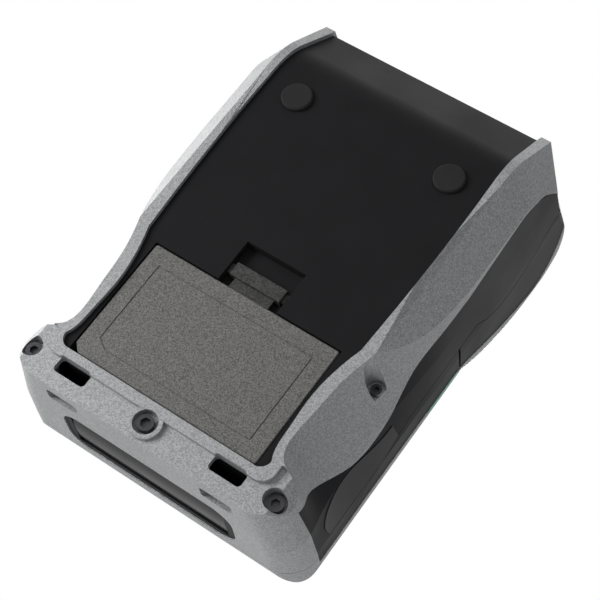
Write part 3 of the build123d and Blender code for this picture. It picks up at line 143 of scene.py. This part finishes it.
corners = [(-floor_half, -floor_half, 0), (floor_half, -floor_half, 0)]
corners += [(floor_half, floor_half, 0), (-floor_half, floor_half, 0)]
floor_mesh = bpy.data.meshes.new("floor")
floor_mesh.from_pydata(corners, [], [(0, 1, 2, 3)])
floor = bpy.data.objects.new("floor", floor_mesh)
scene.collection.objects.link(floor)
for ray in ("visible_diffuse", "visible_glossy", "visible_transmission", "visible_shadow"):
    setattr(floor, ray, False)
print("floor, metres:", 2 * floor_half)

# %% [markdown]
# ## The floor's material
# The floor is matte and nearly white. Its shader is mixed with a transparent one, by
# the larger of two masks: one for the underside and one for the distance.

# %% Material of the floor
pale = bpy.data.materials.new("pale_floor")
pale.use_nodes = True
tree = pale.node_tree
surface = tree.nodes["Principled BSDF"]
surface.inputs["Base Color"].default_value = (0.86, 0.86, 0.86, 1)
surface.inputs["Roughness"].default_value = 0.8
clear = tree.nodes.new("ShaderNodeBsdfTransparent")
side = tree.nodes.new("ShaderNodeNewGeometry")
distance = tree.nodes.new("ShaderNodeVectorMath")
distance.operation = "LENGTH"
place = tree.nodes.new("ShaderNodeTexCoord")
tree.links.new(place.outputs["Object"], distance.inputs[0])
fade = tree.nodes.new("ShaderNodeMapRange")
fade.interpolation_type = "SMOOTHSTEP"
fade.inputs["From Min"].default_value = fade_start
fade.inputs["From Max"].default_value = fade_end
tree.links.new(distance.outputs["Value"], fade.inputs["Value"])
unseen = tree.nodes.new("ShaderNodeMath")
unseen.operation = "MAXIMUM"
tree.links.new(side.outputs["Backfacing"], unseen.inputs[0])
tree.links.new(fade.outputs["Result"], unseen.inputs[1])
either = tree.nodes.new("ShaderNodeMixShader")
tree.links.new(unseen.outputs[0], either.inputs["Fac"])
tree.links.new(surface.outputs[0], either.inputs[1])
tree.links.new(clear.outputs[0], either.inputs[2])
tree.links.new(either.outputs[0], tree.nodes["Material Output"].inputs["Surface"])
floor.data.materials.append(pale)
print("floor fades out from", fade_start, "to", fade_end, "metres")

# %% [markdown]
# ## Shared effects
# Most surfaces of the printer are moulded plastic. Three effects come back on many of
# them, so each is a node group with named sockets: a fine spark-eroded grain, the flakes
# of a silver paint with their painted sparkle, and the soft marks that handling leaves.
# Each group puts out values that change over the surface; the shader itself stays in the
# material. Four helpers come first, for what the groups have in common.


# %% Helpers for node groups
def new_group(name, inputs, outputs):
    """A shader node group with float inputs (name, default) and float outputs."""
    group = bpy.data.node_groups.new(name, "ShaderNodeTree")
    for label, default in inputs:
        socket = group.interface.new_socket(
            name=label, in_out="INPUT", socket_type="NodeSocketFloat"
        )
        socket.default_value = default
    for label in outputs:
        group.interface.new_socket(name=label, in_out="OUTPUT", socket_type="NodeSocketFloat")
    return group, group.nodes.new("NodeGroupInput"), group.nodes.new("NodeGroupOutput")


def noise(group, coordinates, scale, detail=2.0):
    """A noise texture whose scale comes from a group input or is a plain number."""
    node = group.nodes.new("ShaderNodeTexNoise")
    node.inputs["Detail"].default_value = detail
    group.links.new(coordinates, node.inputs["Vector"])
    if isinstance(scale, float):
        node.inputs["Scale"].default_value = scale
    else:
        group.links.new(scale, node.inputs["Scale"])
    return node.outputs["Fac"]


def spread(group, value, low, high, low_out, high_out):
    """Maps the range low to high onto low_out to high_out, held at both ends."""
    node = group.nodes.new("ShaderNodeMapRange")
    for label, number in (("From Min", low), ("From Max", high)):
        node.inputs[label].default_value = number
    for label, number in (("To Min", low_out), ("To Max", high_out)):
        if isinstance(number, (int, float)):
            node.inputs[label].default_value = number
        else:
            group.links.new(number, node.inputs[label])
    group.links.new(value, node.inputs["Value"])
    return node.outputs["Result"]


def one_less(group, depth):
    """One minus a depth: the darkest shade that an effect reaches."""
    node = group.nodes.new("ShaderNodeMath")
    node.operation = "SUBTRACT"
    node.inputs[0].default_value = 1.0
    group.links.new(depth, node.inputs[1])
    return node.outputs[0]


print("helpers for node groups are ready")

# %% [markdown]
# ## Grain
# Spark erosion leaves the steel mould with a fine, even roughness, and the plastic copies
# it. A noise of a fraction of a millimetre stands for it as a height, and a second, slow
# noise of about 17 mm varies the shade a little, as real mouldings do.


# %% Moulded grain
def make_grain():
    """Height is a fine noise of the given size, Shade a slow variation of the colour."""
    group, given, out = new_group(
        "moulded_grain", [("Size", 3000.0), ("Shade Depth", 0.06)], ["Height", "Shade"]
    )
    place = group.nodes.new("ShaderNodeTexCoord").outputs["Object"]
    group.links.new(noise(group, place, given.outputs["Size"]), out.inputs["Height"])
    darkest = one_less(group, given.outputs["Shade Depth"])
    shade = spread(group, noise(group, place, 60.0, detail=4.0), 0.3, 0.7, darkest, 1.0)
    group.links.new(shade, out.inputs["Shade"])
    return group


grain = make_grain()
print("shared effect:", grain.name)

# %% [markdown]
# ## Flakes and their painted sparkle
# Silver paint holds small metal flakes that each lie at their own angle, so each catches
# the light with its own brightness; here that brightness is painted into the colour as a
# fixed sparkle. Voronoi cells are such patches: every cell has one random colour, whose red
# gives the painted sparkle of the flake and whose green gives its height.


# %% Paint flakes
def make_flakes():
    """Cells of the given size, each with a random Shade, a painted sparkle, and a random Height.
    """
    group, given, out = new_group(
        "flakes_with_painted_sparkle", [("Size", 2500.0), ("Depth", 0.25)], ["Shade", "Height"]
    )
    place = group.nodes.new("ShaderNodeTexCoord").outputs["Object"]
    cells = group.nodes.new("ShaderNodeTexVoronoi")
    group.links.new(place, cells.inputs["Vector"])
    group.links.new(given.outputs["Size"], cells.inputs["Scale"])
    apart = group.nodes.new("ShaderNodeSeparateColor")
    group.links.new(cells.outputs["Color"], apart.inputs["Color"])
    # The Shade is a painted sparkle: each flake's brightness is painted into the colour, darkest
    # at one minus Depth.
    darkest = one_less(group, given.outputs["Depth"])
    group.links.new(spread(group, apart.outputs[0], 0.0, 1.0, darkest, 1.0), out.inputs["Shade"])
    group.links.new(apart.outputs[1], out.inputs["Height"])
    return group


flakes = make_flakes()
print("shared effect:", flakes.name)

# %% [markdown]
# ## Handling marks
# Hands leave soft patches of grease and fine rubbing that change only the gloss. A slow
# noise with much detail raises the roughness in patches.


# %% Handling marks
def make_marks():
    """Roughness goes up by Change in soft patches."""
    group, given, out = new_group(
        "handling_marks", [("Roughness", 0.4), ("Change", 0.08)], ["Roughness"]
    )
    place = group.nodes.new("ShaderNodeTexCoord").outputs["Object"]
    high = group.nodes.new("ShaderNodeMath")
    high.operation = "ADD"
    group.links.new(given.outputs["Roughness"], high.inputs[0])
    group.links.new(given.outputs["Change"], high.inputs[1])
    patches = noise(group, place, 38.0, detail=5.0)
    value = spread(group, patches, 0.35, 0.7, given.outputs["Roughness"], high.outputs[0])
    group.links.new(value, out.inputs["Roughness"])
    return group


marks = make_marks()
print("shared effect:", marks.name)

# %% [markdown]
# ## Material builder
# Every finish of the printer is put together in the same way: a colour times the shade
# of an effect, a roughness with handling marks, and a bump from the effect's height. So
# one function makes them all, and each finish is a short list of values. Colours are
# linear, sizes are cells in a metre, and values of the shader that are the same all over
# go straight to its own sockets.

# %% Material builder
bump_height = 0.0001


def place_group(tree, group, **values):
    """Puts a group into a material with its own values; _ in a name stands for a space."""
    node = tree.nodes.new("ShaderNodeGroup")
    node.node_tree = group
    for label, number in values.items():
        node.inputs[label.replace("_", " ")].default_value = number
    return node


def finish_of(
    name, colour, rough, effect, size, depth, bump, metallic=0.0, change=0.08, **plain
):
    """A finish: colour times the effect's shade, marks in the gloss, bump from its height."""
    material = bpy.data.materials.new(name)
    material.use_nodes = True
    tree = material.node_tree
    shader = tree.nodes["Principled BSDF"]
    shader.inputs["Metallic"].default_value = metallic
    for label, number in plain.items():
        shader.inputs[label.replace("_", " ")].default_value = number
    depth_name = "Shade_Depth" if effect is grain else "Depth"
    pattern = place_group(tree, effect, Size=size, **{depth_name: depth})
    tint = tree.nodes.new("ShaderNodeMix")
    tint.data_type = "RGBA"
    tint.inputs["A"].default_value = (0, 0, 0, 1)
    tint.inputs["B"].default_value = (*colour, 1)
    # With flakes as the effect, this Shade is a painted sparkle: a fixed brightness for each
    # flake, painted into the colour.
    tree.links.new(pattern.outputs["Shade"], tint.inputs["Factor"])
    tree.links.new(tint.outputs["Result"], shader.inputs["Base Color"])
    worn = place_group(tree, marks, Roughness=rough, Change=change)
    tree.links.new(worn.outputs["Roughness"], shader.inputs["Roughness"])
    if bump > 0:
        lift = tree.nodes.new("ShaderNodeBump")
        lift.inputs["Strength"].default_value = bump
        lift.inputs["Distance"].default_value = bump_height
        tree.links.new(pattern.outputs["Height"], lift.inputs["Height"])
        tree.links.new(lift.outputs["Normal"], shader.inputs["Normal"])
    return material


def dress(material, *names):
    """Gives a finish to carried-over solids."""
    for name in names:
        mesh = nodes[name].data
        mesh.materials.clear()
        mesh.materials.append(material)
    print(material.name, "->", ", ".join(names))


# %% [markdown]
# ## Silver paint
# The bumper frame, the upper case and the label cover are painted plastic. The paint is
# a fine metallic silver: most of the light comes back from a pale, matte binder and the
# rest from small flakes. A slightly metallic base with a painted sparkle, a random
# brightness for each flake painted into the colour, gives that look, and a weak bump
# breaks up the reflections.

# %% Silver paint
silver = finish_of(
    "silver_paint", (0.40, 0.405, 0.41), rough=0.42, effect=flakes, size=2600.0,
    depth=0.45, bump=0.30, metallic=0.12, Specular_IOR_Level=0.25,
)
dress(silver, "bumper_frame", "upper_case", "media_cover")

# %% [markdown]
# ## Dark plastics
# The side panels, the bottom panel and the trim are plastic that is black all through,
# from a smooth satin on the sides to a fine matte grain underneath. The camera sees the
# sides at a flat angle, where even a dull plastic mirrors the white world, so a low
# specular level keeps them as black as they are in the photograph.

# %% Dark plastics
side_black = finish_of(
    "side_black", (0.012, 0.012, 0.014), rough=0.42, effect=grain, size=2200.0,
    depth=0.15, bump=0.10, Specular_IOR_Level=0.04,
)
panel_black = finish_of(
    "panel_black", (0.013, 0.013, 0.014), rough=0.48, effect=grain, size=2600.0,
    depth=0.15, bump=0.25, Specular_IOR_Level=0.05,
)
bezel_black = finish_of(
    "bezel_black", (0.010, 0.010, 0.011), rough=0.48, effect=grain, size=2600.0,
    depth=0.15, bump=0.20, Specular_IOR_Level=0.05,
)
plate_black = finish_of(
    "plate_black", (0.018, 0.018, 0.020), rough=0.34, effect=grain, size=2200.0,
    depth=0.12, bump=0.08, Specular_IOR_Level=0.08,
)
dress(side_black, "side_panel_right", "side_panel_left", "upper_side_right", "upper_side_left")
dress(side_black, "cover_side_right", "cover_side_left", "cover_panel", "control_panel")
dress(panel_black, "bottom_housing")
dress(bezel_black, "front_bezel", "platen_bushes", "label_sensor", "charge_inlet")
dress(bezel_black, "serial_socket")
dress(plate_black, "side_plate_right", "side_plate_left")

# %% [markdown]
# ## Glossy door and lenses
# The connector door is polished plastic. The window of the cover, the lens over the
# display and the light pipes let light through, so they use transmission. A lens has no
# moulded grain, and its bump is zero: only soft marks change its gloss.

# %% Glossy door and lenses
door_gloss = finish_of(
    "door_gloss", (0.008, 0.008, 0.009), rough=0.22, effect=grain, size=800.0,
    depth=0.10, bump=0.02, Specular_IOR_Level=0.03,
)
smoked = finish_of(
    "smoked_window", (0.030, 0.032, 0.034), rough=0.06, effect=grain, size=800.0,
    depth=0.05, bump=0.0, change=0.04, Transmission_Weight=0.6,
)
clear_lens = finish_of(
    "display_lens_clear", (0.05, 0.055, 0.06), rough=0.04, effect=grain, size=800.0,
    depth=0.05, bump=0.0, change=0.04, Transmission_Weight=0.7,
)
display_glass = finish_of(
    "display_glass", (0.20, 0.26, 0.23), rough=0.15, effect=grain, size=900.0,
    depth=0.06, bump=0.0,
)
frosted = finish_of(
    "frosted_light", (0.70, 0.76, 0.74), rough=0.35, effect=grain, size=1200.0,
    depth=0.06, bump=0.05, Transmission_Weight=0.5,
)
dress(door_gloss, "port_door")
dress(smoked, "cover_window")
dress(clear_lens, "display_lens")
dress(display_glass, "display_module")
dress(frosted, "light_pipes")

# %% [markdown]
# ## Battery and latch
# The battery's grain is deeper than the case's and sparkles in the light, so it is made
# of flakes with a strong shade, which is a painted sparkle in the colour, and a strong
# bump. The latch has the same grain and painted sparkle, only coarser.

# %% Battery and latch
battery_dark = finish_of(
    "battery_dark", (0.185, 0.182, 0.174), rough=0.42, effect=flakes, size=3200.0,
    depth=0.70, bump=0.7, change=0.12, Specular_IOR_Level=0.3,
)
latch_dark = finish_of(
    "latch_dark", (0.052, 0.051, 0.049), rough=0.42, effect=flakes, size=1700.0,
    depth=0.85, bump=0.9, Specular_IOR_Level=0.3,
)
dress(battery_dark, "battery_pack")
dress(latch_dark, "battery_latch")

# %% [markdown]
# ## Rubber and coloured plastic
# Feet, keys and platen are rubber, which is dull and nearly even. What a hand moves is
# teal plastic: the release button with its hook, the power key and the label guides.

# %% Rubber and coloured plastic
foot_rubber = finish_of(
    "foot_rubber", (0.012, 0.012, 0.012), rough=0.75, effect=grain, size=1500.0,
    depth=0.20, bump=0.25, Specular_IOR_Level=0.2,
)
platen_rubber = finish_of(
    "platen_rubber", (0.025, 0.025, 0.026), rough=0.60, effect=grain, size=1800.0,
    depth=0.15, bump=0.15,
)
key_rubber = finish_of(
    "key_rubber", (0.11, 0.11, 0.12), rough=0.60, effect=grain, size=1500.0,
    depth=0.12, bump=0.20,
)
teal = finish_of(
    "teal_plastic", (0.115, 0.285, 0.225), rough=0.38, effect=grain, size=2000.0,
    depth=0.10, bump=0.12,
)
dress(foot_rubber, "rubber_feet")
dress(platen_rubber, "platen_roller")
dress(key_rubber, "feed_key", "menu_key")
dress(teal, "release_button", "cover_latch", "power_key")
dress(teal, "media_guide_left", "media_guide_right")

# %% [markdown]
# ## Metals
# Screws, pins, the chassis and the motor are steel, bright, blackened or plated with
# zinc. The motor's pinion is brass, the battery contacts are gold, and the print head is
# a pale alloy. Metals take their look from reflections, so their flakes, a weak painted
# sparkle in the colour, and their bump are weak: they stand for the fine marks of tools.

# %% Metals
black_steel = finish_of(
    "black_steel", (0.05, 0.05, 0.055), rough=0.30, effect=flakes, size=3000.0,
    depth=0.25, bump=0.10, metallic=0.8,
)
bright_steel = finish_of(
    "bright_steel", (0.55, 0.55, 0.56), rough=0.28, effect=flakes, size=3000.0,
    depth=0.12, bump=0.06, metallic=1.0,
)
zinc = finish_of(
    "zinc_plate", (0.50, 0.51, 0.53), rough=0.38, effect=flakes, size=900.0,
    depth=0.20, bump=0.05, metallic=0.9,
)
brass = finish_of(
    "brass", (0.60, 0.44, 0.16), rough=0.28, effect=flakes, size=3000.0,
    depth=0.12, bump=0.05, metallic=1.0,
)
gold = finish_of(
    "contact_gold", (0.80, 0.56, 0.22), rough=0.22, effect=flakes, size=3000.0,
    depth=0.10, bump=0.04, metallic=1.0,
)
alloy = finish_of(
    "head_alloy", (0.60, 0.60, 0.61), rough=0.35, effect=flakes, size=2600.0,
    depth=0.15, bump=0.08, metallic=0.9,
)
dress(black_steel, "case_screws")
dress(bright_steel, "hinge_pins", "platen_shaft", "tear_bar", "usb_socket", "head_springs")
dress(zinc, "mech_chassis", "stepper_motor")
dress(brass, "motor_pinion")
dress(gold, "battery_contacts")
dress(alloy, "print_head")

# %% [markdown]
# ## Gears and boards
# The gears are undyed plastic, which is a warm off-white, and the circuit boards carry a
# green mask with a slow change of shade, as where copper lies under it.

# %% Gears and boards
natural = finish_of(
    "natural_plastic", (0.62, 0.60, 0.54), rough=0.42, effect=grain, size=2000.0,
    depth=0.10, bump=0.10,
)
board_green = finish_of(
    "board_green", (0.015, 0.11, 0.05), rough=0.35, effect=grain, size=900.0,
    depth=0.30, bump=0.10,
)
dress(natural, "platen_gear", "idler_gear", "guide_pinion")
dress(board_green, "main_board", "port_board", "key_board")

scene.view_settings.view_transform = "Standard"
